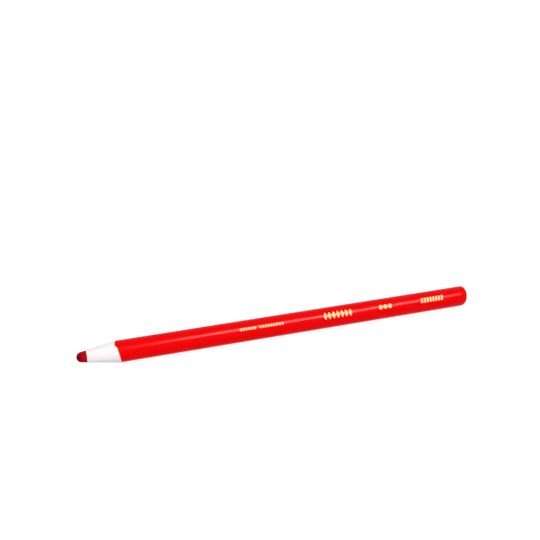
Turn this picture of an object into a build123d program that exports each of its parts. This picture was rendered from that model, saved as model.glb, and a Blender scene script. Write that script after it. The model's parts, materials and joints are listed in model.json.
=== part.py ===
from build123d import *
from math import cos, floor, radians, sin, tan
import os

# Overall sizes of the marker, in millimetres and degrees
OVERALL_LENGTH = 170.0
BARREL_DIAMETER = 8.6
CORE_DIAMETER = 4.6

# The core sits a little above the barrel's middle, and the point is cut round the core
CORE_RISE = 0.14

# The sharpened point: one cone through paper and wax, ending in a round wax tip
CONE_HALF_ANGLE = 9.25
TIP_RADIUS = 2.0

# The red cover on the wound paper, and the film of glue between them
COVER_THICKNESS = 0.12
GLUE_FILM = 0.02

# Peel-off sections, cut by rings of perforation
NOSE_COLLAR_LENGTH = 2.0
SECTION_LENGTH = 9.5
SHORTEST_TAIL = 12.0
BORE_CLEARANCE = 0.05

# The pull string, laid in a channel straight below the core
STRING_DIAMETER = 0.5
STRING_CLEARANCE = 0.05
STRING_SEAT_GAP = 0.02

# The dipped cup that closes the tail
DIP_LENGTH = 4.0
DIP_END_THICKNESS = 0.4
TAIL_EDGE_RADIUS = 1.8

# Radii worked out from the sizes above, from the axis outwards
core_radius = CORE_DIAMETER / 2
bore_radius = core_radius + BORE_CLEARANCE
string_radius = STRING_DIAMETER / 2
barrel_radius = BARREL_DIAMETER / 2
cover_bore_radius = barrel_radius - COVER_THICKNESS
roll_radius = cover_bore_radius - GLUE_FILM

# The cone's own sharp apex, ahead of the round tip
slope = radians(CONE_HALF_ANGLE)
tip_x = -OVERALL_LENGTH / 2
apex_x = tip_x + TIP_RADIUS - TIP_RADIUS / sin(slope)

# Stations along the axis, from the tip on the left to the tail on the right
dome_end_x = tip_x + TIP_RADIUS * (1 - sin(slope))
last_cone_x = apex_x + (barrel_radius + CORE_RISE) / tan(slope)
nose_end_x = last_cone_x + NOSE_COLLAR_LENGTH
tail_x = OVERALL_LENGTH / 2
roll_end_x = tail_x - DIP_END_THICKNESS
dip_start_x = tail_x - DIP_LENGTH
section_count = floor((roll_end_x - nose_end_x - SHORTEST_TAIL) / SECTION_LENGTH)
tail_start_x = nose_end_x + section_count * SECTION_LENGTH

# Places of the three lines that run along the marker, which lies on its barrel
barrel_line = Pos(0, 0, barrel_radius)
core_line = Pos(0, 0, barrel_radius + CORE_RISE)
string_line = core_line * Pos(0, 0, -core_radius - STRING_SEAT_GAP - string_radius)


def rod(radius, start_x, end_x):
    """Round rod along the X axis."""
    upright = Cylinder(radius, end_x - start_x, align=(Align.CENTER, Align.CENTER, Align.MIN))
    return Pos(start_x, 0, 0) * Rot(0, 90, 0) * upright


def round_ended_rod(radius, start_x, end_x, edge_radius):
    """Rod whose tail edge is rounded."""
    blank = rod(radius, start_x, end_x)
    tail_edge = blank.edges().filter_by(GeomType.CIRCLE).sort_by(Axis.X)[-1]
    return fillet(tail_edge, edge_radius)


def sharpened_space():
    """All that the sharpener leaves: a round tip, then a cone that opens until it clears the barrel."""
    clear_radius = BARREL_DIAMETER
    clear_x = apex_x + clear_radius / tan(slope)
    dome = CenterArc((tip_x + TIP_RADIUS, 0), TIP_RADIUS, 90 + CONE_HALF_ANGLE, 90 - CONE_HALF_ANGLE)
    flank = Polyline(
        (dome_end_x, TIP_RADIUS * cos(slope)),
        (clear_x, clear_radius),
        (tail_x, clear_radius),
        (tail_x, 0),
        (tip_x, 0),
    )
    return core_line * revolve(make_face(dome + flank), Axis.X)


def core_passage(start_x, end_x):
    """Room for the core and the string through the wound paper."""
    bore = core_line * rod(bore_radius, start_x, end_x)
    channel = string_line * rod(string_radius + STRING_CLEARANCE, start_x, end_x)
    return bore + channel


def paper_roll(start_x, end_x):
    """Wound paper of one section."""
    return barrel_line * rod(roll_radius, start_x, end_x) - core_passage(start_x, end_x)


def cover_band(start_x, end_x):
    """Red cover of one section."""
    return barrel_line * (rod(barrel_radius, start_x, end_x) - rod(cover_bore_radius, start_x, end_x))


def tail_roll():
    """Wound paper that stays on the core, with its tail edge rounded under the dip."""
    edge_radius = TAIL_EDGE_RADIUS - COVER_THICKNESS
    blank = barrel_line * round_ended_rod(roll_radius, tail_start_x, roll_end_x, edge_radius)
    return blank - core_passage(tail_start_x, roll_end_x)


def end_dip():
    """Cup that closes the tail, with the same wall as the cover."""
    edge_radius = TAIL_EDGE_RADIUS - COVER_THICKNESS
    outside = round_ended_rod(barrel_radius, dip_start_x, tail_x, TAIL_EDGE_RADIUS)
    inside = round_ended_rod(cover_bore_radius, dip_start_x, roll_end_x, edge_radius)
    return barrel_line * (outside - inside)


def marker_pieces():
    """Every piece of the marker by name, in its place."""
    sharpened = sharpened_space()
    pieces = {
        "wax_core": core_line * rod(core_radius, tip_x, roll_end_x) & sharpened,
        "pull_string": string_line * rod(string_radius, tip_x, roll_end_x) & sharpened,
        "nose_roll": paper_roll(tip_x, nose_end_x) & sharpened,
        "nose_cover": cover_band(tip_x, nose_end_x) & sharpened,
        "tail_roll": tail_roll(),
        "tail_cover": cover_band(tail_start_x, dip_start_x),
        "end_dip": end_dip(),
    }
    for number in range(section_count):
        start_x = nose_end_x + number * SECTION_LENGTH
        end_x = start_x + SECTION_LENGTH
        pieces[f"paper_roll_{number + 1:02d}"] = paper_roll(start_x, end_x)
        pieces[f"cover_band_{number + 1:02d}"] = cover_band(start_x, end_x)
    return pieces


os.makedirs("parts", exist_ok=True)
for name, shape in marker_pieces().items():
    export_step(shape, f"parts/{name}.step")
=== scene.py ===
"""Looks of a china marker: a wax core in a red paper wrap that peels off section by section.

The marker lies along X with its point towards -X, on a floor at z = 0. Sizes are in metres, in the frame of
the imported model, and every piece rides on the body that it belongs to.
"""

import json
import logging
from dataclasses import dataclass, field
from enum import Enum
from functools import cache
from itertools import pairwise
from math import atan2, cos, hypot, pi, radians, sin, sqrt, tan
from typing import Any, Callable, Sequence

import bmesh
import bpy
from mathutils import Matrix, Vector

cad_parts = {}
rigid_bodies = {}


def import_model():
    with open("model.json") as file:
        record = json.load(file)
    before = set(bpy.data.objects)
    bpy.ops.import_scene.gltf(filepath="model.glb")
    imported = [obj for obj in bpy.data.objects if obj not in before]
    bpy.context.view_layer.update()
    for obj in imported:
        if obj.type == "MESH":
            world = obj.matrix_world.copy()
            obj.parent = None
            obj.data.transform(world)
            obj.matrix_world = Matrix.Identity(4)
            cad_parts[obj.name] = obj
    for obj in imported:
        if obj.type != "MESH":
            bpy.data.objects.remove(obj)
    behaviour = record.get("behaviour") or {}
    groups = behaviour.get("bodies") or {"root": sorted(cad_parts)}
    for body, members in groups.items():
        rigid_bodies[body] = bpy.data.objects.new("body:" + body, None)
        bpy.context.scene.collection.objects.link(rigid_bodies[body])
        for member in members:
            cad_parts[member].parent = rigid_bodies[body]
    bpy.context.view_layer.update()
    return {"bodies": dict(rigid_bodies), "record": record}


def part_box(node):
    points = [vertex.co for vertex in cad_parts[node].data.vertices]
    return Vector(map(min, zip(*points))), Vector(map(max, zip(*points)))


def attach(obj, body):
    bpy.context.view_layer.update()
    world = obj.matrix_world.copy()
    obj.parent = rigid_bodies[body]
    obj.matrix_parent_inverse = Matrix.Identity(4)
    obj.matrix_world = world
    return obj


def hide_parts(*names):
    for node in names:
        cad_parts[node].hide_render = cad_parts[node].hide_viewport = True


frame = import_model()

MM = 0.001
FULL_TURN = 2 * pi
STRAIGHT_DOWN = 1.5 * pi
MERGE_DISTANCE = 0.0001 * MM
SHARE_TOLERANCE = 0.0001
# Half the side of a grid of unit size, which is how bmesh takes its size
HALF_UNIT = 0.5
SHARP_ANGLE = radians(32)
ROOT_BODY = "core_and_tail"
NOSE_BODY = "nose"
SECTION_PREFIX = "section_"
LOG = logging.getLogger("china_marker")

Colour = tuple[float, float, float]
Outline = list[tuple[float, float]]


@cache
def box(node: str) -> tuple[Vector, Vector]:
    """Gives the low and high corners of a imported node's box."""
    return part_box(node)


class Slot(Enum):
    """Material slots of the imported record."""

    WAX = "wax"
    THREAD = "thread"
    PAPER = "wound_paper"
    COVER = "red_cover"
    DIP = "red_dip"


class Motif(Enum):
    """Plain shapes of the gold foil marks."""

    DOT = "dot"
    LOZENGE = "lozenge"
    BAR = "bar"


@dataclass(frozen=True)
class AxisLine:
    """A line along X at one height. Angles round it count from the -Y side upwards."""

    height: float

    def polar(self, point: Vector) -> tuple[float, float]:
        """Measures a point from the line.

        Args:
            point: a place in the frame.

        Returns:
            Its distance from the line, and its angle from 0 to a full turn.
        """
        rise = point.z - self.height
        return hypot(point.y, rise), atan2(rise, -point.y) % FULL_TURN

    def place(self, x: float, radius: float, angle: float) -> Vector:
        """Finds a place from its measures.

        Args:
            x: station along the line.
            radius: distance from the line.
            angle: angle round the line.

        Returns:
            The place in the frame.
        """
        return Vector((x, -radius * cos(angle), self.height + radius * sin(angle)))


def lathe(outline: Outline, line: AxisLine, steps: int, closed: bool) -> bmesh.types.BMesh:
    """Spins an outline once round a line.

    Args:
        outline: (x, radius) points in order.
        line: the line that they turn round.
        steps: how many steps the turn takes.
        closed: whether the last point joins the first one.

    Returns:
        The turned mesh, with its doubles merged and its faces outwards.
    """
    mesh = bmesh.new()
    points = [mesh.verts.new(line.place(x, radius, 0.0)) for x, radius in outline]
    for here, there in pairwise(points + points[:1] if closed else points):
        mesh.edges.new((here, there))
    bmesh.ops.spin(
        mesh,
        geom=mesh.verts[:] + mesh.edges[:],
        cent=(0.0, 0.0, line.height),
        axis=(1.0, 0.0, 0.0),
        dvec=(0.0, 0.0, 0.0),
        angle=FULL_TURN,
        steps=steps,
        use_merge=True,
    )
    bmesh.ops.remove_doubles(mesh, verts=mesh.verts[:], dist=MERGE_DISTANCE)
    bmesh.ops.recalc_face_normals(mesh, faces=mesh.faces[:])
    return mesh


def reshape(mesh: bmesh.types.BMesh, rule: Callable[[Vector], Vector]) -> None:
    """Moves every vertex of a mesh by one rule.

    Args:
        mesh: the mesh to change.
        rule: gives a vertex's new place from its old one.
    """
    for vert in mesh.verts:
        vert.co = rule(vert.co)


def arc(centre: tuple[float, float], radius: float, start: float, end: float, count: int) -> Outline:
    """Gives the points of a round stretch of an outline.

    Args:
        centre: the arc's middle as (x, radius).
        radius: the arc's own radius.
        start: first angle, counted from the tip's side (-X) outwards.
        end: last angle.
        count: how many points it has.

    Returns:
        The points in order.
    """
    angles = [start + (end - start) * i / (count - 1) for i in range(count)]
    return [(centre[0] - radius * cos(a), centre[1] + radius * sin(a)) for a in angles]


def smooth_step(value: float, low: float, high: float) -> float:
    """Gives 0 below low, 1 above high, and an eased value between."""
    share = min(1.0, max(0.0, (value - low) / (high - low)))
    return share * share * (3.0 - 2.0 * share)


class ShaderGraph:
    """Node tree of one material, with short calls for the nodes that the finishes share."""

    # A mix node's sockets for colours share their names with those for numbers, so they go by place
    MIX_FIRST, MIX_SECOND, MIX_RESULT = 6, 7, 2
    # Most of a noise pattern lies between these values
    NOISE_MIDDLE = (0.3, 0.7)

    def __init__(self, name: str) -> None:
        """Makes the material with its shader and its object coordinates.

        Args:
            name: the material's name.
        """
        self.material = bpy.data.materials.new(name)
        self.material.use_nodes = True
        self.tree = self.material.node_tree
        self.shader = self.tree.nodes["Principled BSDF"]
        self.place = self.add("ShaderNodeTexCoord").outputs["Object"]

    def add(self, kind: str, **settings: Any) -> bpy.types.Node:
        """Adds a node.

        Args:
            kind: Blender's name of the node type.
            settings: properties to set on the node.

        Returns:
            The node.
        """
        node = self.tree.nodes.new(kind)
        for key, value in settings.items():
            setattr(node, key, value)
        return node

    def link(self, source: bpy.types.NodeSocket, target: bpy.types.NodeSocket) -> None:
        """Joins an output to an input."""
        self.tree.links.new(source, target)

    def constants(self, **values: Any) -> None:
        """Sets unlinked sockets of the shader, with underscores in place of spaces."""
        for key, value in values.items():
            self.shader.inputs[key.replace("_", " ")].default_value = value

    def mapped(
        self, scale: Sequence[float], location: Sequence[float] = (0.0, 0.0, 0.0)
    ) -> bpy.types.NodeSocket:
        """Scales and shifts the object coordinates.

        Args:
            scale: factor along each axis.
            location: shift after the scaling.

        Returns:
            The new coordinates.
        """
        node = self.add("ShaderNodeMapping")
        node.inputs["Scale"].default_value = scale
        node.inputs["Location"].default_value = location
        self.link(self.place, node.inputs["Vector"])
        return node.outputs["Vector"]

    def noise(self, grain: Sequence[float], detail: float) -> bpy.types.NodeSocket:
        """Adds a noise pattern.

        Args:
            grain: size of its features along each axis.
            detail: how many finer layers it has.

        Returns:
            The pattern, from 0 to 1.
        """
        node = self.add("ShaderNodeTexNoise")
        node.inputs["Scale"].default_value = 1.0
        node.inputs["Detail"].default_value = detail
        self.link(self.mapped([1.0 / size for size in grain]), node.inputs["Vector"])
        return node.outputs["Fac"]

    def math(self, operation: str, *operands: bpy.types.NodeSocket | float) -> bpy.types.NodeSocket:
        """Adds a sum on numbers.

        Args:
            operation: Blender's name of the operation.
            operands: sockets or plain numbers.

        Returns:
            The result.
        """
        node = self.add("ShaderNodeMath", operation=operation)
        for socket, operand in zip(node.inputs, operands):
            if isinstance(operand, bpy.types.NodeSocket):
                self.link(operand, socket)
            else:
                socket.default_value = operand
        return node.outputs["Value"]

    def ramp(self, factor: bpy.types.NodeSocket, *stops: tuple[float, Colour]) -> bpy.types.NodeSocket:
        """Turns a pattern into colours.

        Args:
            factor: the pattern.
            stops: places from 0 to 1 with their colours, in order.

        Returns:
            The colour.
        """
        node = self.add("ShaderNodeValToRGB")
        elements = node.color_ramp.elements
        while len(elements) < len(stops):
            elements.new(1.0)
        for element, (position, colour) in zip(elements, stops):
            element.position = position
            element.color = (*colour, 1.0)
        self.link(factor, node.inputs["Fac"])
        return node.outputs["Color"]

    def blended(
        self,
        pattern: bpy.types.NodeSocket,
        low: Colour,
        high: Colour,
        ends: tuple[float, float] = NOISE_MIDDLE,
    ) -> bpy.types.NodeSocket:
        """Spreads two colours over a noise pattern, each reached at one of its two end values."""
        return self.ramp(pattern, (ends[0], low), (ends[1], high))

    def mixed(
        self, factor: bpy.types.NodeSocket, below: bpy.types.NodeSocket, above: Colour
    ) -> bpy.types.NodeSocket:
        """Lays one colour over others by a pattern.

        Args:
            factor: how much of the upper colour shows.
            below: the colours below.
            above: the plain colour above.

        Returns:
            The blended colour.
        """
        node = self.add("ShaderNodeMix", data_type="RGBA")
        self.link(factor, node.inputs["Factor"])
        self.link(below, node.inputs[self.MIX_FIRST])
        node.inputs[self.MIX_SECOND].default_value = (*above, 1.0)
        return node.outputs[self.MIX_RESULT]

    def rescaled(self, value: bpy.types.NodeSocket, low: float, high: float) -> bpy.types.NodeSocket:
        """Spreads the middle of a noise pattern over a range of numbers.

        Args:
            value: the pattern.
            low: the number where the pattern is low.
            high: the number where it is high.

        Returns:
            The numbers.
        """
        node = self.add("ShaderNodeMapRange")
        names = ("From Min", "From Max", "To Min", "To Max")
        for name, number in zip(names, (*self.NOISE_MIDDLE, low, high)):
            node.inputs[name].default_value = number
        self.link(value, node.inputs["Value"])
        return node.outputs["Result"]

    def bump(self, height: bpy.types.NodeSocket, depth: float, strength: float = 1.0) -> None:
        """Adds relief on top of the relief that the shader already has.

        Args:
            height: the pattern.
            depth: real depth between its lowest and highest points.
            strength: share of the relief that shows.
        """
        node = self.add("ShaderNodeBump")
        node.inputs["Distance"].default_value = depth
        node.inputs["Strength"].default_value = strength
        self.link(height, node.inputs["Height"])
        normal = self.shader.inputs["Normal"]
        if normal.is_linked:
            self.link(normal.links[0].from_socket, node.inputs["Normal"])
        self.link(node.outputs["Normal"], normal)

    def colour(self, source: bpy.types.NodeSocket) -> None:
        """Feeds the shader's base colour."""
        self.link(source, self.shader.inputs["Base Color"])

    def roughness(self, source: bpy.types.NodeSocket) -> None:
        """Feeds the shader's roughness."""
        self.link(source, self.shader.inputs["Roughness"])


@dataclass(frozen=True)
class RedLacquer:
    """Glossy red lacquer on paper, drawn lengthwise, with a fine orange peel."""

    name: str = "red_lacquer"
    bright: Colour = (0.95, 0.0008, 0.0022)
    deep: Colour = (0.90, 0.0005, 0.0015)
    streak: tuple[float, float, float] = (9 * MM, 0.6 * MM, 0.6 * MM)
    peel: float = 0.4 * MM
    peel_depth: float = 0.002 * MM
    smoothest: float = 0.17
    roughest: float = 0.23
    ior: float = 1.1

    def material(self) -> bpy.types.Material:
        """Builds the lacquer's node tree.

        Returns:
            The material.
        """
        graph = ShaderGraph(self.name)
        graph.constants(IOR=self.ior)
        streaks = graph.noise(self.streak, detail=3.0)
        graph.colour(graph.blended(streaks, self.deep, self.bright))
        peel = graph.noise((self.peel,) * 3, detail=1.0)
        graph.roughness(graph.rescaled(peel, self.smoothest, self.roughest))
        graph.bump(peel, self.peel_depth)
        return graph.material


@dataclass(frozen=True)
class WoundPaper:
    """White paper wound in plies, with fibres, faint ply lines and a little red dust."""

    core_height: float
    bore_radius: float
    ply: float
    name: str = "wound_paper"
    white: Colour = (0.97, 0.93, 0.94)
    line: Colour = (0.93, 0.885, 0.897)
    dust: Colour = (0.92, 0.66, 0.70)
    fibre: tuple[float, float, float] = (0.5 * MM, 0.08 * MM, 0.08 * MM)
    fibre_depth: float = 0.01 * MM
    line_end: float = 0.16
    line_start: float = 0.9
    dust_grain: float = 1.2 * MM
    dust_reach: float = 0.6 * MM
    dust_share: float = 0.18
    far_dust: float = 0.12
    shine: float = 0.2
    smoothest: float = 0.75
    roughest: float = 0.95

    def material(self) -> bpy.types.Material:
        """Builds the paper's node tree.

        Returns:
            The material.
        """
        graph = ShaderGraph(self.name)
        graph.constants(Specular_IOR_Level=self.shine)
        across = graph.mapped((0.0, 1.0, 1.0), (0.0, 0.0, -self.core_height))
        length = graph.add("ShaderNodeVectorMath", operation="LENGTH")
        graph.link(across, length.inputs[0])
        parts = graph.add("ShaderNodeSeparateXYZ")
        graph.link(across, parts.inputs[0])
        radius = length.outputs["Value"]
        angle = graph.math("ARCTAN2", parts.outputs["Z"], parts.outputs["Y"])
        turn = graph.math("DIVIDE", angle, FULL_TURN)
        phase = graph.math("FRACT", graph.math("SUBTRACT", graph.math("DIVIDE", radius, self.ply), turn))
        fibres = graph.noise(self.fibre, detail=3.0)
        plies = graph.ramp(
            phase,
            (0.0, self.line),
            (self.line_end, self.white),
            (self.line_start, self.white),
            (1.0, self.line),
        )
        from_bore = graph.math("SUBTRACT", radius, self.bore_radius)
        near_wax = graph.math("DIVIDE", from_bore, self.dust_reach)
        fading = graph.math("MAXIMUM", graph.math("SUBTRACT", 1.0, near_wax), self.far_dust)
        specks = graph.rescaled(graph.noise((self.dust_grain,) * 3, detail=4.0), 0.0, self.dust_share)
        dusty = graph.mixed(graph.math("MULTIPLY", specks, fading), plies, self.dust)
        graph.colour(dusty)
        graph.roughness(graph.rescaled(fibres, self.smoothest, self.roughest))
        graph.bump(fibres, self.fibre_depth)
        return graph.material


@dataclass(frozen=True)
class SoftWax:
    """Dark red wax, mottled, with turning marks on the point and painted shade that darkens its tip."""

    tip_x: float
    name: str = "soft_wax"
    light: Colour = (0.60, 0.0008, 0.012)
    dark: Colour = (0.44, 0.0005, 0.008)
    # Colour of the painted shade that darkens the tip
    painted_tip_shade: Colour = (0.10, 0.0003, 0.004)
    shade_reach: float = 2.4 * MM
    raggedness: float = 0.15
    shade_softness: float = 0.2
    mottle: float = 0.9 * MM
    mottle_ends: tuple[float, float] = (0.32, 0.68)
    pits: float = 0.12 * MM
    pit_depth: float = 0.012 * MM
    pit_share: float = 0.5
    turning: float = 0.16 * MM
    turning_length: float = 4 * MM
    turning_share: float = 0.6
    scatter: float = 0.15 * MM
    scatter_share: float = 0.12
    scatter_reach: tuple[float, float, float] = (1.0, 0.12, 0.1)
    smoothest: float = 0.38
    roughest: float = 0.56
    ior: float = 1.08

    def material(self) -> bpy.types.Material:
        """Builds the wax's node tree.

        Returns:
            The material.
        """
        graph = ShaderGraph(self.name)
        graph.constants(
            IOR=self.ior,
            Subsurface_Weight=self.scatter_share,
            Subsurface_Radius=self.scatter_reach,
            Subsurface_Scale=self.scatter,
        )
        mottle = graph.noise((self.mottle,) * 3, detail=3.0)
        fresh = graph.blended(mottle, self.dark, self.light, self.mottle_ends)
        parts = graph.add("ShaderNodeSeparateXYZ")
        graph.link(graph.place, parts.inputs[0])
        # Painted shade: the wax gets darker towards its tip, with a ragged edge taken from the mottle
        from_tip = graph.math("SUBTRACT", parts.outputs["X"], self.tip_x)
        depth = graph.math("DIVIDE", from_tip, self.shade_reach)
        ragged = graph.math("ADD", depth, graph.rescaled(mottle, -self.raggedness, self.raggedness))
        shade_share = graph.math("SMOOTH_MIN", 1.0, graph.math("SUBTRACT", 1.0, ragged), self.shade_softness)
        graph.colour(graph.mixed(shade_share, fresh, self.painted_tip_shade))
        pits = graph.noise((self.pits,) * 3, detail=2.0)
        graph.roughness(graph.rescaled(pits, self.smoothest, self.roughest))
        graph.bump(pits, self.pit_depth, self.pit_share)
        marks = graph.noise((self.turning, self.turning_length, self.turning_length), detail=1.0)
        graph.bump(marks, self.pit_depth, self.turning_share)
        return graph.material


@dataclass(frozen=True)
class CottonThread:
    """Off-white cotton with fuzzy fibres along its strands."""

    name: str = "cotton_thread"
    light: Colour = (0.86, 0.83, 0.78)
    dark: Colour = (0.68, 0.64, 0.58)
    fibre: tuple[float, float, float] = (0.4 * MM, 0.05 * MM, 0.05 * MM)
    fibre_depth: float = 0.02 * MM
    shine: float = 0.2
    fuzz: float = 0.2
    smoothest: float = 0.8
    roughest: float = 0.95

    def material(self) -> bpy.types.Material:
        """Builds the thread's node tree.

        Returns:
            The material.
        """
        graph = ShaderGraph(self.name)
        graph.constants(Specular_IOR_Level=self.shine, Sheen_Weight=self.fuzz)
        fibres = graph.noise(self.fibre, detail=3.0)
        graph.colour(graph.blended(fibres, self.dark, self.light))
        graph.roughness(graph.rescaled(fibres, self.smoothest, self.roughest))
        graph.bump(fibres, self.fibre_depth)
        return graph.material


@dataclass(frozen=True)
class GoldFoil:
    """Hot-stamped gold foil, a little crumpled and broken."""

    name: str = "gold_foil"
    light: Colour = (0.95, 0.64, 0.32)
    dark: Colour = (0.88, 0.47, 0.19)
    flake: float = 0.35 * MM
    flake_depth: float = 0.006 * MM
    flake_ends: tuple[float, float] = (0.34, 0.6)
    metal_share: float = 0.02
    smoothest: float = 0.42
    roughest: float = 0.55
    ior: float = 1.1

    def material(self) -> bpy.types.Material:
        """Builds the foil's node tree.

        Returns:
            The material.
        """
        graph = ShaderGraph(self.name)
        graph.constants(Metallic=self.metal_share, IOR=self.ior)
        flakes = graph.noise((self.flake,) * 3, detail=3.0)
        graph.colour(graph.blended(flakes, self.dark, self.light, self.flake_ends))
        graph.roughness(graph.rescaled(flakes, self.roughest, self.smoothest))
        graph.bump(flakes, self.flake_depth)
        return graph.material


@dataclass(frozen=True)
class Palette:
    """The marker's materials, each built once."""

    lacquer: bpy.types.Material
    dip: bpy.types.Material
    paper: bpy.types.Material
    wax: bpy.types.Material
    thread: bpy.types.Material
    foil: bpy.types.Material

    @classmethod
    def mixed_for(cls, wrap: "Wrap") -> "Palette":
        """Builds every finish.

        Args:
            wrap: the wrap whose plies the paper shows.

        Returns:
            The materials.
        """
        return cls(
            lacquer=RedLacquer().material(),
            dip=RedLacquer(name="dipped_lacquer", smoothest=0.15, roughest=0.2, peel=0.7 * MM).material(),
            paper=WoundPaper(wrap.core.height, wrap.bore_radius, wrap.ply).material(),
            wax=SoftWax(box("wax_core")[0].x).material(),
            thread=CottonThread().material(),
            foil=GoldFoil().material(),
        )


@dataclass(frozen=True)
class Wrap:
    """What all paper rolls and covers share: their lines, radii, plies, lap seam and perforation."""

    barrel: AxisLine
    core: AxisLine
    barrel_radius: float
    core_radius: float
    roll_radius: float
    string: AxisLine
    string_radius: float
    glue_film: float = 0.02 * MM
    bore_clearance: float = 0.05 * MM
    string_clearance: float = 0.05 * MM
    edge_rounding: float = 0.01 * MM
    edge_margin: float = 0.08 * MM
    lap_height: float = 0.015 * MM
    lap_edge: tuple[float, float] = (radians(52), radians(70))
    lap_foot: tuple[float, float] = (radians(80), radians(104))
    plies: int = 11
    ply_relief: float = 0.02 * MM
    face_gap: float = 0.01 * MM
    cover_gap: float = 0.002 * MM
    slits: int = 16
    slit_share: float = 0.6
    slit_depth: float = 0.02 * MM
    steps: int = 192

    @classmethod
    def from_frame(cls) -> "Wrap":
        """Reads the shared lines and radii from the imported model.

        Returns:
            The wrap.
        """
        band_low, band_high = box("cover_band_01")
        roll_low, roll_high = box("paper_roll_01")
        core_low, core_high = box("wax_core")
        string_low, string_high = box("pull_string")
        return cls(
            barrel=AxisLine((band_low.z + band_high.z) / 2),
            core=AxisLine((core_low.z + core_high.z) / 2),
            barrel_radius=(band_high.y - band_low.y) / 2,
            core_radius=(core_high.y - core_low.y) / 2,
            roll_radius=(roll_high.y - roll_low.y) / 2,
            string=AxisLine((string_low.z + string_high.z) / 2),
            string_radius=(string_high.y - string_low.y) / 2,
        )

    @property
    def bore_radius(self) -> float:
        """Radius of the paper's bore round the wax."""
        return self.core_radius + self.bore_clearance

    @property
    def cover_bore(self) -> float:
        """Radius inside the red cover."""
        return self.roll_radius + self.glue_film

    @property
    def ply(self) -> float:
        """Thickness of one ply of the wound paper."""
        return (self.roll_radius - self.bore_radius) / self.plies

    def inner_radius(self, angle: float) -> float:
        """Gives how far the paper's inner face is from the core's line.

        Args:
            angle: direction round the core's line.

        Returns:
            The bore's radius, or the far side of the string's channel where that opens.
        """
        depth = self.core.height - self.string.height
        channel = self.string_radius + self.string_clearance
        along = -depth * sin(angle)
        aside = depth * cos(angle)
        if along <= 0.0 or abs(aside) >= channel:
            return self.bore_radius
        return along + sqrt(channel**2 - aside**2)

    def outer_radius(self, angle: float) -> float:
        """Gives how far the paper's outer face is from the core's line.

        Args:
            angle: direction round the core's line.

        Returns:
            The distance, which changes round the roll because the core sits off the barrel's middle.
        """
        rise = self.core.height - self.barrel.height
        return sqrt(self.roll_radius**2 - (rise * cos(angle)) ** 2) - rise * sin(angle)

    def lap(self, angle: float) -> float:
        """Gives how much of the cover's lap seam, where it lies double, there is at an angle.

        Args:
            angle: direction round the barrel's line.

        Returns:
            A share from 0 beside the seam to 1 on it.
        """
        return smooth_step(angle, *self.lap_edge) * (1.0 - smooth_step(angle, *self.lap_foot))

    def surface_radius(self, angle: float) -> float:
        """Gives the radius of the cover's outside, which the lap seam lifts a little."""
        return self.barrel_radius + self.lap_height * self.lap(angle)

    def slit(self, angle: float) -> float:
        """Gives how far a perforation slit cuts into an edge.

        Args:
            angle: direction round the barrel's line.

        Returns:
            The slit's depth, or 0 on the bridges between slits.
        """
        phase = angle / FULL_TURN * self.slits % 1.0
        half_step = self.slits / self.steps / 2
        return self.slit_depth if half_step < phase < self.slit_share else 0.0

    def face_rows(self) -> Outline:
        """Gives the rows of an end face, from the bore outwards, with a ridge on each ply.

        The outermost ply has no rows of its own, because wind lifts the others by up to one ply.

        Returns:
            (recess into the roll, share of the wall) of each row.
        """
        rows_per_ply = 2
        row_count = rows_per_ply * self.plies
        rows = [(self.face_gap, 0.0)]
        for row in range(1, row_count - rows_per_ply):
            recess = self.face_gap + (self.ply_relief if row % rows_per_ply else 0.0)
            rows.append((recess, row / row_count))
        return rows + [(self.face_gap, 1.0)]

    def front_face(self, x: float, deepening: float = 1.0) -> Outline:
        """Gives a roll's face towards the tip, from the bore outwards, with its relief deepened."""
        return [(x + recess * deepening, share) for recess, share in self.face_rows()]

    def back_face(self, x: float) -> Outline:
        """Gives a roll's face towards the tail, from the outside to the bore."""
        return [(x - recess, share) for recess, share in reversed(self.face_rows())]

    def wind(self, share: float, angle: float) -> float:
        """Lets the rows between the bore and the outside climb one ply in each turn.

        Args:
            share: a row's share of the wall.
            angle: direction round the core's line.

        Returns:
            The share at that angle.
        """
        if share < SHARE_TOLERANCE or share > 1.0 - SHARE_TOLERANCE:
            return share
        return share + (angle - STRAIGHT_DOWN) % FULL_TURN / FULL_TURN / self.plies

    def roll(self, outline: Outline, lip: float = 0.0) -> bmesh.types.BMesh:
        """Makes a paper roll, with the bore and the string's channel through it.

        Args:
            outline: (x, share of the wall) points of half a section, in a closed loop.
            lip: how far the first point of the outline reaches into the bore, towards the wax.

        Returns:
            The roll's mesh.
        """
        wall = self.roll_radius - self.bore_radius
        front = outline[0][0] + MERGE_DISTANCE
        ring = [(x, self.bore_radius + share * wall) for x, share in outline]
        mesh = lathe(ring, self.core, self.steps, closed=True)

        def rule(point: Vector) -> Vector:
            """Spreads a point between the roll's real inner and outer faces.

            Args:
                point: a place on the plain ring.

            Returns:
                Its place on the roll.
            """
            radius, angle = self.core.polar(point)
            share = self.wind((radius - self.bore_radius) / wall, angle)
            inner = self.inner_radius(angle)
            if point.x < front and inner <= self.bore_radius:
                inner -= lip
            spread = inner + share * (self.outer_radius(angle) - inner)
            return self.core.place(point.x, spread, angle)

        reshape(mesh, rule)
        return mesh

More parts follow.
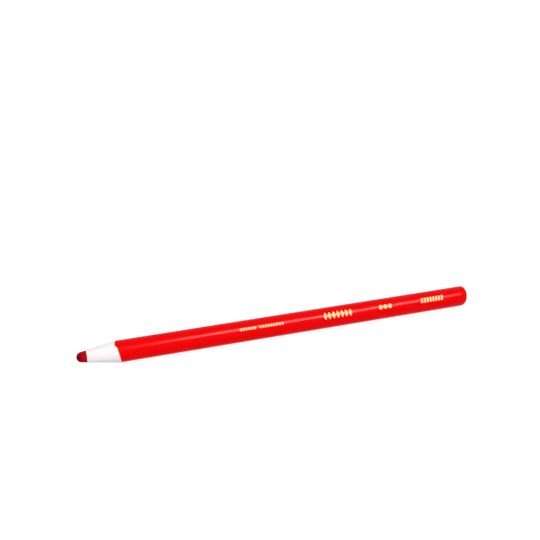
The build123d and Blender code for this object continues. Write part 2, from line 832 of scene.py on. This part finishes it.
    def cover(
        self, start: float, end: float, slit_start: bool, slit_end: bool, rows: Sequence[float] = ()
    ) -> bmesh.types.BMesh:
        """Makes a red cover sleeve with its lap seam and its perforated edges.

        Args:
            start: station of the edge towards the tip.
            end: station of the edge towards the tail.
            slit_start: whether that first edge is perforated.
            slit_end: whether the second one is.
            rows: depths below the surface of extra rows on the first edge's face.

        Returns:
            The sleeve's mesh.
        """
        margin = self.edge_margin
        start += self.cover_gap
        end -= self.cover_gap
        stations = [start, start + margin, end - margin, end]
        outline = [(start, self.cover_bore)] + [(start, self.barrel_radius - depth) for depth in rows]
        outline += [(x, self.barrel_radius) for x in stations] + [(end, self.cover_bore)]
        mesh = lathe(outline, self.barrel, self.steps, closed=True)
        surface = self.barrel_radius - self.edge_rounding / 2
        torn = [x for x, slits in ((start, slit_start), (end, slit_end)) if slits]
        rims = [
            edge
            for edge in mesh.edges
            if all(self.barrel.polar(vert.co)[0] > surface for vert in edge.verts)
            and any(all(abs(vert.co.x - x) < MERGE_DISTANCE for vert in edge.verts) for x in torn)
        ]
        bmesh.ops.bevel(
            mesh,
            geom=rims,
            offset=self.edge_rounding,
            offset_type="OFFSET",
            segments=2,
            profile=0.5,
            affect="EDGES",
            material=-1,
        )
        # The outside and its rounded rims lie above this radius, and the rims lie beyond these stations
        skin_foot = self.barrel_radius - 1.5 * self.edge_rounding
        first_rim = start + margin / 2
        last_rim = end - margin / 2

        def rule(point: Vector) -> Vector:
            """Lifts the outside at the lap, and cuts the slits into the edges.

            Args:
                point: a place on the plain sleeve.

            Returns:
                Its place on the cover.
            """
            radius, angle = self.barrel.polar(point)
            if radius < skin_foot:
                return point
            slit = 0.0
            if slit_start and point.x < first_rim:
                slit = self.slit(angle)
            if slit_end and point.x > last_rim:
                slit = -self.slit(angle)
            lift = self.surface_radius(angle) - self.barrel_radius
            return self.barrel.place(point.x + slit, radius + lift, angle)

        reshape(mesh, rule)
        return mesh


def add_piece(
    mesh: bmesh.types.BMesh,
    name: str,
    body: str,
    slot: Slot | None,
    replaced: Sequence[str],
    materials: Sequence[bpy.types.Material],
) -> bpy.types.Object:
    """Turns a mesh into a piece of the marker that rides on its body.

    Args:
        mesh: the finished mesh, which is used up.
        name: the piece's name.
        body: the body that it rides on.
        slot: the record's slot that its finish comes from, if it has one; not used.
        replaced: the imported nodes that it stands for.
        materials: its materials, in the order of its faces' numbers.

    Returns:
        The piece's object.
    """
    data = bpy.data.meshes.new(name)
    mesh.to_mesh(data)
    mesh.free()
    for material in materials:
        data.materials.append(material)
    data.shade_smooth()
    data.set_sharp_from_angle(angle=SHARP_ANGLE)
    piece = bpy.data.objects.new(name, data)
    bpy.context.scene.collection.objects.link(piece)
    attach(piece, body)
    if replaced:
        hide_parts(*replaced)
    LOG.info("%s: %d faces on %s", name, len(data.polygons), body)
    return piece


@dataclass(frozen=True)
class Sharpening:
    """The cone that the sharpener cuts through paper and wax, round the core's line."""

    core: AxisLine
    tip_x: float
    half_angle: float = radians(9.25)
    tip_radius: float = 2.0 * MM

    @property
    def apex_x(self) -> float:
        """Station of the cone's own sharp apex, ahead of the round tip."""
        return self.tip_x + self.tip_radius - self.tip_radius / sin(self.half_angle)

    def cone_x(self, radius: float) -> float:
        """Gives the station where the cone has a radius."""
        return self.apex_x + radius / tan(self.half_angle)

    def cone_radius(self, x: float) -> float:
        """Gives the cone's radius at a station."""
        return (x - self.apex_x) * tan(self.half_angle)


@dataclass
class CoreAndString:
    """The wax core with its point, and the thread laid in the paper below it."""

    wrap: Wrap
    sharpening: Sharpening
    palette: Palette
    dome_points: int = 14
    turning_pitch: float = 0.11 * MM
    turning_relief: float = 0.006 * MM
    stretch: float = 5.0 * MM
    crease_depth: float = 0.015 * MM
    crease_width: float = radians(3)
    crease_angle: float = radians(262)
    strands: int = 3
    strand_sides: int = 8
    lay: float = 1.8 * MM
    steps_per_turn: int = 12

    def build(self) -> None:
        """Builds the wax core and the pull string."""
        self.build_core()
        self.build_string()

    def core_outline(self) -> Outline:
        """Lays out half of the core's outline.

        Returns:
            Points from the middle of its tip to the middle of its far end.
        """
        cut = self.sharpening
        core_radius = self.wrap.core_radius
        end_x = box("wax_core")[1].x
        dome_middle = (cut.tip_x + cut.tip_radius, 0.0)
        outline = arc(dome_middle, cut.tip_radius, 0.0, pi / 2 - cut.half_angle, self.dome_points)
        flank_start = outline[-1][0]
        flank_end = cut.cone_x(core_radius)
        marks = int((flank_end - flank_start) / self.turning_pitch)
        for mark in range(1, marks):
            x = flank_start + (flank_end - flank_start) * mark / marks
            outline.append((x, cut.cone_radius(x) - (self.turning_relief if mark % 2 else 0.0)))
        outline.append((flank_end, core_radius))
        rod_length = end_x - flank_end
        stretches = round(rod_length / self.stretch)
        outline += [(flank_end + rod_length * i / stretches, core_radius) for i in range(1, stretches + 1)]
        return outline + [(end_x, 0.0)]

    def build_core(self) -> None:
        """Builds the wax core, with the crease that the paper's first edge presses into it."""
        wrap = self.wrap
        covered_x = self.sharpening.cone_x(wrap.bore_radius)
        mesh = lathe(self.core_outline(), wrap.core, wrap.steps, closed=False)

        def rule(point: Vector) -> Vector:
            """Presses the crease into the covered stretch.

            Args:
                point: a place on the smooth core.

            Returns:
                Its place on the creased core.
            """
            radius, angle = wrap.core.polar(point)
            aside = abs(angle - self.crease_angle) / self.crease_width
            if point.x > covered_x and radius > wrap.core_radius - self.crease_depth and aside < 1.0:
                radius -= self.crease_depth * (1.0 - aside)
            return wrap.core.place(point.x, radius, angle)

        reshape(mesh, rule)
        add_piece(mesh, "wax_core_turned", ROOT_BODY, Slot.WAX, ["wax_core"], [self.palette.wax])

    def strand_place(self, along: float, around: float, strand: int) -> Vector:
        """Finds a place on the skin of one of the string's strands.

        Args:
            along: share of the string's length.
            around: share of the turn round the strand.
            strand: the strand's number.

        Returns:
            The place in the frame.
        """
        low, high = box("pull_string")
        spread = sin(pi / self.strands)
        strand_radius = self.wrap.string_radius * spread / (1.0 + spread)
        x = low.x + along * (high.x - low.x)
        turn = FULL_TURN * ((x - low.x) / self.lay + strand / self.strands)
        middle = self.wrap.string.place(x, self.wrap.string_radius - strand_radius, turn)
        return middle + AxisLine(0.0).place(0.0, strand_radius, turn + FULL_TURN * around)

    def build_string(self) -> None:
        """Builds the pull string as strands laid round each other, cut off by the sharpener."""
        low, high = box("pull_string")
        steps = round((high.x - low.x) / self.lay * self.steps_per_turn)
        mesh = bmesh.new()
        for strand in range(self.strands):
            sheet = bmesh.ops.create_grid(
                mesh, x_segments=steps, y_segments=self.strand_sides, size=HALF_UNIT
            )
            for vert in sheet["verts"]:
                vert.co = self.strand_place(vert.co.x + HALF_UNIT, vert.co.y + HALF_UNIT, strand)
        bmesh.ops.remove_doubles(mesh, verts=mesh.verts[:], dist=MERGE_DISTANCE)
        bmesh.ops.holes_fill(mesh, edges=[edge for edge in mesh.edges if edge.is_boundary])
        bmesh.ops.recalc_face_normals(mesh, faces=mesh.faces[:])

        def rule(point: Vector) -> Vector:
            """Keeps a point behind the sharpener's cone."""
            radius = self.wrap.core.polar(point)[0]
            return Vector((max(point.x, self.sharpening.cone_x(radius)), point.y, point.z))

        reshape(mesh, rule)
        add_piece(mesh, "pull_string_laid", ROOT_BODY, Slot.THREAD, ["pull_string"], [self.palette.thread])


@dataclass
class PeelSection:
    """One peel-off section: its wound paper and its red cover."""

    number: int
    wrap: Wrap
    palette: Palette

    @property
    def body(self) -> str:
        """Name of the section's body."""
        return f"{SECTION_PREFIX}{self.number:02d}"

    def build(self) -> None:
        """Builds the section's roll and its cover."""
        roll_node = f"paper_roll_{self.number:02d}"
        cover_node = f"cover_band_{self.number:02d}"
        low, high = box(roll_node)
        wrap = self.wrap
        roll = wrap.roll(wrap.front_face(low.x) + wrap.back_face(high.x))
        roll_name = f"roll_wound_{self.number:02d}"
        add_piece(roll, roll_name, self.body, Slot.PAPER, [roll_node], [self.palette.paper])
        cover = wrap.cover(low.x, high.x, slit_start=True, slit_end=True)
        cover_name = f"band_red_{self.number:02d}"
        add_piece(cover, cover_name, self.body, Slot.COVER, [cover_node], [self.palette.lacquer])


@dataclass
class Nose:
    """The sharpened front: a white paper cone, and the slanting edge of the red cover behind it."""

    wrap: Wrap
    sharpening: Sharpening
    palette: Palette
    lacquer_film: float = 0.018 * MM
    lap_film: float = 0.09 * MM
    cut_relief: float = 0.03 * MM
    lip_gap: float = 0.004 * MM

    def build(self) -> None:
        """Builds the nose's roll and its cover."""
        self.build_roll()
        self.build_cover()

    def build_roll(self) -> None:
        """Builds the paper cone with the cut edges of its plies."""
        wrap = self.wrap
        low, high = box("nose_roll")
        deepening = self.cut_relief / wrap.ply_relief
        faces = wrap.front_face(low.x, deepening) + wrap.back_face(high.x)
        middle = (low.x + high.x) / 2
        roll = wrap.roll(faces, lip=wrap.bore_clearance - self.lip_gap)

        def rule(point: Vector) -> Vector:
            """Lays the front face on the sharpener's cone.

            Args:
                point: a place on the straight roll.

            Returns:
                Its place on the sharpened roll.
            """
            if point.x > middle:
                return point
            cut = self.sharpening.cone_x(wrap.core.polar(point)[0])
            return Vector((cut + point.x - low.x, point.y, point.z))

        reshape(roll, rule)
        add_piece(roll, "nose_cone_paper", NOSE_BODY, Slot.PAPER, ["nose_roll"], [self.palette.paper])

    def build_cover(self) -> None:
        """Builds the red cover's front stretch, whose cut shows white paper under the lacquer."""
        wrap = self.wrap
        low, high = box("nose_cover")
        film_foot = wrap.barrel_radius - self.lacquer_film
        row_tolerance = wrap.edge_rounding / 4
        mesh = wrap.cover(low.x, high.x, slit_start=False, slit_end=True, rows=[self.lacquer_film])
        # Only the front edge, with its margin, lies ahead of this station
        front = low.x + 1.5 * wrap.edge_margin
        for face in mesh.faces:
            inside = wrap.barrel.polar(face.calc_center_median())[0] < film_foot - MERGE_DISTANCE
            face.material_index = int(inside and all(vert.co.x < front for vert in face.verts))

        def rule(point: Vector) -> Vector:
            """Lays the front face on the sharpener's cone, with more red where the cover lies double.

            Args:
                point: a place on the straight cover.

            Returns:
                Its place on the sharpened cover.
            """
            if point.x > front:
                return point
            radius, angle = wrap.barrel.polar(point)
            if abs(radius - film_foot) < row_tolerance:
                point = wrap.barrel.place(point.x, film_foot - self.lap_film * wrap.lap(angle), angle)
            cut = self.sharpening.cone_x(wrap.core.polar(point)[0])
            return Vector((cut + point.x - low.x, point.y, point.z))

        reshape(mesh, rule)
        materials = [self.palette.lacquer, self.palette.paper]
        add_piece(mesh, "nose_cover_red", NOSE_BODY, Slot.COVER, ["nose_cover"], materials)


@dataclass
class Tail:
    """The last stretch, which stays on the core: its roll, its cover and the dipped end."""

    wrap: Wrap
    palette: Palette
    edge_radius: float = 1.8 * MM
    edge_unevenness: float = 0.6 * MM
    roundest: float = radians(305)
    end_thickness: float = 0.4 * MM
    arc_points: int = 10
    bead_height: float = 0.02 * MM
    bead_length: float = 0.5 * MM
    dimple_depth: float = 0.04 * MM
    dimple_radius: float = 1.2 * MM

    def build(self) -> None:
        """Builds the tail's roll, cover and dip."""
        self.build_roll()
        low, high = box("tail_cover")
        cover = self.wrap.cover(low.x, high.x, slit_start=True, slit_end=False)
        add_piece(cover, "tail_cover_red", ROOT_BODY, Slot.COVER, ["tail_cover"], [self.palette.lacquer])
        self.build_dip()

    def build_roll(self) -> None:
        """Builds the tail's roll, with its far edge rounded under the dip."""
        wrap = self.wrap
        low, high = box("tail_roll")
        wall = wrap.roll_radius - wrap.bore_radius
        rounding = self.edge_radius - (wrap.barrel_radius - wrap.roll_radius)
        front = wrap.front_face(low.x)
        corner = arc((high.x - rounding, 0.0), rounding, pi / 2, pi, self.arc_points)
        back = [(x, 1.0 - (rounding - reach) / wall) for x, reach in corner]
        roll = wrap.roll(front + back + [(high.x, 0.0)])

        def rule(point: Vector) -> Vector:
            """Keeps a point inside the rounded edge, also where the string's channel thins the wall.

            Args:
                point: a place on the roll.

            Returns:
                The place, drawn in where it stood out.
            """
            radius, angle = wrap.barrel.polar(point)
            along = max(0.0, point.x - high.x + rounding)
            reach = sqrt(max(0.0, rounding**2 - along**2))
            return wrap.barrel.place(point.x, min(radius, wrap.roll_radius - rounding + reach), angle)

        reshape(roll, rule)
        add_piece(roll, "tail_roll_wound", ROOT_BODY, Slot.PAPER, ["tail_roll"], [self.palette.paper])

    def build_dip(self) -> None:
        """Builds the dipped cup, with a bead at its lip and a shallow dimple where the last drop left."""
        wrap = self.wrap
        low, high = box("end_dip")
        inner_edge = self.edge_radius - (wrap.barrel_radius - wrap.cover_bore)
        inner_end = high.x - self.end_thickness
        steps = [i / self.arc_points for i in range(self.arc_points + 1)]
        dimple = [
            (high.x - self.dimple_depth * (1.0 + cos(pi * i)) / 2, self.dimple_radius * i)
            for i in steps
        ]
        middle = (high.x - self.edge_radius, wrap.barrel_radius - self.edge_radius)
        corner = arc(middle, self.edge_radius, pi, pi / 2, self.arc_points)
        bead = [
            (low.x + self.bead_length * i, wrap.barrel_radius + self.bead_height * sin(pi * i))
            for i in reversed(steps)
        ]
        inner_middle = (inner_end - inner_edge, wrap.cover_bore - inner_edge)
        inside = arc(inner_middle, inner_edge, pi / 2, pi, self.arc_points)
        outline = dimple + corner + bead + [(low.x, wrap.cover_bore)] + inside + [(inner_end, 0.0)]
        mesh = lathe(outline, wrap.barrel, wrap.steps, closed=False)

        def rule(point: Vector) -> Vector:
            """Rounds the far edge more on the side where the dip ran off.

            Args:
                point: a place on the evenly rounded dip.

            Returns:
                Its place on the uneven one.
            """
            radius, angle = wrap.barrel.polar(point)
            along, aside = point.x - middle[0], radius - middle[1]
            below_edge = hypot(along, aside) < self.edge_radius - MERGE_DISTANCE
            if below_edge or min(along, aside) < -MERGE_DISTANCE:
                return point
            rounding = self.edge_radius + self.edge_unevenness * cos(angle - self.roundest)
            change = rounding / self.edge_radius
            x = high.x - rounding + along * change
            return wrap.barrel.place(x, wrap.barrel_radius - rounding + aside * change, angle)

        reshape(mesh, rule)
        add_piece(mesh, "tail_dip_red", ROOT_BODY, Slot.DIP, ["end_dip"], [self.palette.dip])


@dataclass(frozen=True)
class FoilRow:
    """A row of like gold marks along the barrel."""

    motif: Motif
    first_x: float
    pitch: float
    count: int
    length: float
    height: float
    slant: float = 0.0


@dataclass
class FoilPrint:
    """Plain gold ornaments stamped on the side that faces the viewer."""

    wrap: Wrap
    palette: Palette
    angle: float = radians(44.5)
    film: float = 0.012 * MM
    strips: int = 12
    roundness: float = 0.98
    taper: float = 0.7
    rows: tuple[FoilRow, ...] = field(
        default=(
            FoilRow(Motif.DOT, -20.48 * MM, pitch=1.2 * MM, count=6, length=1.0 * MM, height=1.2 * MM),
            FoilRow(Motif.DOT, -12.18 * MM, pitch=1.2 * MM, count=9, length=1.0 * MM, height=1.2 * MM),
            FoilRow(Motif.LOZENGE, 16.47 * MM, pitch=1.9 * MM, count=7, length=1.75 * MM, height=2.75 * MM),
            FoilRow(Motif.DOT, 42.05 * MM, pitch=2.2 * MM, count=3, length=1.9 * MM, height=1.95 * MM),
            FoilRow(
                Motif.BAR, 61.92 * MM, pitch=1.4 * MM, count=8, length=0.95 * MM, height=2.1 * MM, slant=0.15
            ),
        )
    )

    def build(self) -> None:
        """Builds the marks, joined into one piece on each body that they lie on."""
        gathered: dict[str, bmesh.types.BMesh] = {}
        for row in self.rows:
            for index in range(row.count):
                x = row.first_x + index * row.pitch
                body = self.body_at(x)
                self.stamp(gathered.setdefault(body, bmesh.new()), row, x)
        for body, mesh in gathered.items():
            bmesh.ops.recalc_face_normals(mesh, faces=mesh.faces[:])
            add_piece(mesh, f"foil_marks_{body}", body, None, [], [self.palette.foil])

    def body_at(self, x: float) -> str:
        """Finds the body whose cover lies at a station.

        Args:
            x: station along the barrel.

        Returns:
            The body's name.
        """
        for body, members in frame["record"]["behaviour"]["bodies"].items():
            for node in members:
                if "cover" in node and box(node)[0].x <= x < box(node)[1].x:
                    return body
        return ROOT_BODY

    def stamp(self, mesh: bmesh.types.BMesh, row: FoilRow, x: float) -> None:
        """Adds one mark to a mesh, laid on the barrel.

        Args:
            mesh: the mesh that takes it.
            row: the row that it belongs to.
            x: station of its middle.
        """
        grid = bmesh.ops.create_grid(mesh, x_segments=2, y_segments=self.strips, size=HALF_UNIT)
        verts = grid["verts"]
        faces = list(dict.fromkeys(face for vert in verts for face in vert.link_faces))
        for vert in verts:
            vert.co = self.flat_place(vert.co, row)
        # The film stands out of the cover and sinks as deep into it, so that no gap shows at its edges
        thick = bmesh.ops.solidify(mesh, geom=faces, thickness=2 * self.film)
        added = [item for item in thick["geom"] if isinstance(item, bmesh.types.BMVert)]
        solid = list(dict.fromkeys(verts + added))
        middle = sum(vert.co.z for vert in solid) / len(solid)
        for vert in solid:
            angle = self.angle + vert.co.y / self.wrap.barrel_radius
            radius = self.wrap.surface_radius(angle) + vert.co.z - middle
            vert.co = self.wrap.barrel.place(x + vert.co.x, radius, angle)

    def flat_place(self, point: Vector, row: FoilRow) -> Vector:
        """Shapes one point of a mark while it is still flat.

        Args:
            point: the point on a square of unit size.
            row: the row that the mark belongs to.

        Returns:
            The point at its real size.
        """
        length, up = row.length, point.y
        if row.motif is Motif.DOT:
            turn = pi * self.roundness * point.y
            length *= cos(turn)
            up = sin(turn) / 2
        elif row.motif is Motif.LOZENGE:
            length *= 1.0 - 2 * abs(up) * self.taper
        return Vector((point.x * length + row.slant * up * row.height, up * row.height, 0.0))


@dataclass
class Studio:
    """White floor, soft lamps, white surroundings and the camera at the photographed angle."""

    target: Vector
    floor_size: float = 6.0
    floor_white: float = 0.62
    plain_share: float = 0.6
    glow: float = 1.41
    sky: float = 0.63
    strip_left: Vector = field(default_factory=lambda: Vector((33 * MM, -182 * MM, 300 * MM)))
    strip_right: Vector = field(default_factory=lambda: Vector((265 * MM, -175 * MM, 264 * MM)))
    strip_width: float = 110 * MM
    strip_power: float = 5.75
    key_place: Vector = field(default_factory=lambda: Vector((-375 * MM, -1000 * MM, 1055 * MM)))
    key_side: float = 1000 * MM
    key_power: float = 10.15
    image_side: float = 540.0
    sensor_mm: float = 36.0
    focal_pixels: float = 870.0
    yaw: float = radians(22.748)
    elevation: float = radians(30.0)
    roll: float = radians(3.915)
    distance: float = 356.83 * MM
    middle_pixel: tuple[float, float] = (285.22, 324.32)

    def build(self) -> None:
        """Sets up the floor, the surroundings, the lamps and the camera."""
        self.build_floor()
        self.build_surroundings()
        along = self.strip_right - self.strip_left
        strip_size = (along.length, self.strip_width)
        strip = self.add_lamp("strip_softbox", (self.strip_left + self.strip_right) / 2, along, strip_size)
        strip.data.energy = self.strip_power
        strip.visible_diffuse = False
        key_size = (self.key_side, self.key_side)
        key = self.add_lamp("key_softbox", self.key_place, Vector((1.0, 0.0, 0.0)), key_size)
        key.data.energy = self.key_power
        key.visible_glossy = False
        self.build_camera()
        bpy.context.scene.view_settings.view_transform = "Standard"

    def seen_ray(self, tree: bpy.types.NodeTree) -> bpy.types.NodeSocket:
        """Adds nodes that are 1 for what the camera, a gloss or a clear surface sees.

        Args:
            tree: the node tree that takes them.

        Returns:
            The socket with that number.
        """
        path = tree.nodes.new("ShaderNodeLightPath")
        seen = path.outputs["Is Camera Ray"]
        for name in ("Is Glossy Ray", "Is Transmission Ray"):
            either = tree.nodes.new("ShaderNodeMath")
            either.operation = "MAXIMUM"
            tree.links.new(seen, either.inputs[0])
            tree.links.new(path.outputs[name], either.inputs[1])
            seen = either.outputs["Value"]
        return seen

    def build_floor(self) -> None:
        """Builds a plain white floor that keeps the marker's shadow."""
        mesh = bmesh.new()
        bmesh.ops.create_grid(mesh, x_segments=1, y_segments=1, size=self.floor_size / 2)
        data = bpy.data.meshes.new("studio_floor")
        mesh.to_mesh(data)
        mesh.free()
        floor = bpy.data.objects.new("studio_floor", data)
        bpy.context.scene.collection.objects.link(floor)
        material = bpy.data.materials.new("floor_white")
        material.use_nodes = True
        tree = material.node_tree
        matt = tree.nodes["Principled BSDF"]
        matt.inputs["Base Color"].default_value = (*(self.floor_white,) * 3, 1.0)
        matt.inputs["Roughness"].default_value = 1.0
        matt.inputs["Specular IOR Level"].default_value = 0.0
        glow = tree.nodes.new("ShaderNodeEmission")
        glow.inputs["Strength"].default_value = self.glow
        share = tree.nodes.new("ShaderNodeMath")
        share.operation = "MULTIPLY"
        share.inputs[1].default_value = self.plain_share
        tree.links.new(self.seen_ray(tree), share.inputs[0])
        both = tree.nodes.new("ShaderNodeMixShader")
        tree.links.new(share.outputs["Value"], both.inputs["Fac"])
        tree.links.new(matt.outputs["BSDF"], both.inputs[1])
        tree.links.new(glow.outputs["Emission"], both.inputs[2])
        tree.links.new(both.outputs["Shader"], tree.nodes["Material Output"].inputs["Surface"])
        data.materials.append(material)

    def build_surroundings(self) -> None:
        """Makes the surroundings plain white to look at, and dimmer as a light."""
        world = bpy.data.worlds.new("studio_surroundings")
        world.use_nodes = True
        tree = world.node_tree
        strength = tree.nodes.new("ShaderNodeMapRange")
        strength.inputs["To Min"].default_value = self.sky
        strength.inputs["To Max"].default_value = 1.0
        tree.links.new(self.seen_ray(tree), strength.inputs["Value"])
        background = tree.nodes["Background"]
        background.inputs["Color"].default_value = (1.0, 1.0, 1.0, 1.0)
        tree.links.new(strength.outputs["Result"], background.inputs["Strength"])
        bpy.context.scene.world = world

    def add_lamp(
        self, name: str, place: Vector, along: Vector, size: tuple[float, float]
    ) -> bpy.types.Object:
        """Hangs a flat lamp that faces the marker.

        Args:
            name: the lamp's name.
            place: where its middle hangs.
            along: direction of its length.
            size: its length and its width.

        Returns:
            The lamp's object.
        """
        data = bpy.data.lights.new(name, "AREA")
        data.shape = "RECTANGLE"
        data.size, data.size_y = size
        length_axis = along.normalized()
        away = Vector((0.0, place.y - self.target.y, place.z - self.target.z))
        away = (away - length_axis * away.dot(length_axis)).normalized()
        lamp = bpy.data.objects.new(name, data)
        turn = Matrix((length_axis, away.cross(length_axis), away)).transposed().to_4x4()
        lamp.matrix_world = Matrix.Translation(place) @ turn
        lamp.visible_camera = False
        bpy.context.scene.collection.objects.link(lamp)
        return lamp

    def build_camera(self) -> None:
        """Places the camera so that the marker's middle falls on its pixel of the photograph."""
        data = bpy.data.cameras.new("photo_camera")
        data.sensor_width = self.sensor_mm
        data.lens = self.focal_pixels * self.sensor_mm / self.image_side
        camera = bpy.data.objects.new("photo_camera", data)
        bpy.context.scene.collection.objects.link(camera)
        level = cos(self.elevation)
        forward = Vector((sin(self.yaw) * level, cos(self.yaw) * level, -sin(self.elevation)))
        level_right = forward.cross(Vector((0.0, 0.0, 1.0))).normalized()
        level_up = level_right.cross(forward)
        right = cos(self.roll) * level_right + sin(self.roll) * level_up
        up = cos(self.roll) * level_up - sin(self.roll) * level_right
        across = (self.middle_pixel[0] - self.image_side / 2) / self.focal_pixels
        down = (self.middle_pixel[1] - self.image_side / 2) / self.focal_pixels
        place = self.target - self.distance * (forward + right * across - up * down)
        turn = Matrix((right, up, -forward)).transposed().to_4x4()
        camera.matrix_world = Matrix.Translation(place) @ turn
        bpy.context.scene.camera = camera


def main() -> None:
    """Builds the marker piece by piece, then the studio round it."""
    logging.basicConfig(level=logging.INFO, format="%(name)s: %(message)s")
    wrap = Wrap.from_frame()
    palette = Palette.mixed_for(wrap)
    sharpening = Sharpening(wrap.core, box("wax_core")[0].x)
    CoreAndString(wrap, sharpening, palette).build()
    Nose(wrap, sharpening, palette).build()
    sections = [body for body in frame["bodies"] if body.startswith(SECTION_PREFIX)]
    for number in range(1, len(sections) + 1):
        PeelSection(number, wrap, palette).build()
    Tail(wrap, palette).build()
    FoilPrint(wrap, palette).build()
    Studio(target=Vector((0.0, 0.0, wrap.barrel.height))).build()


if __name__ == "__main__":
    main()
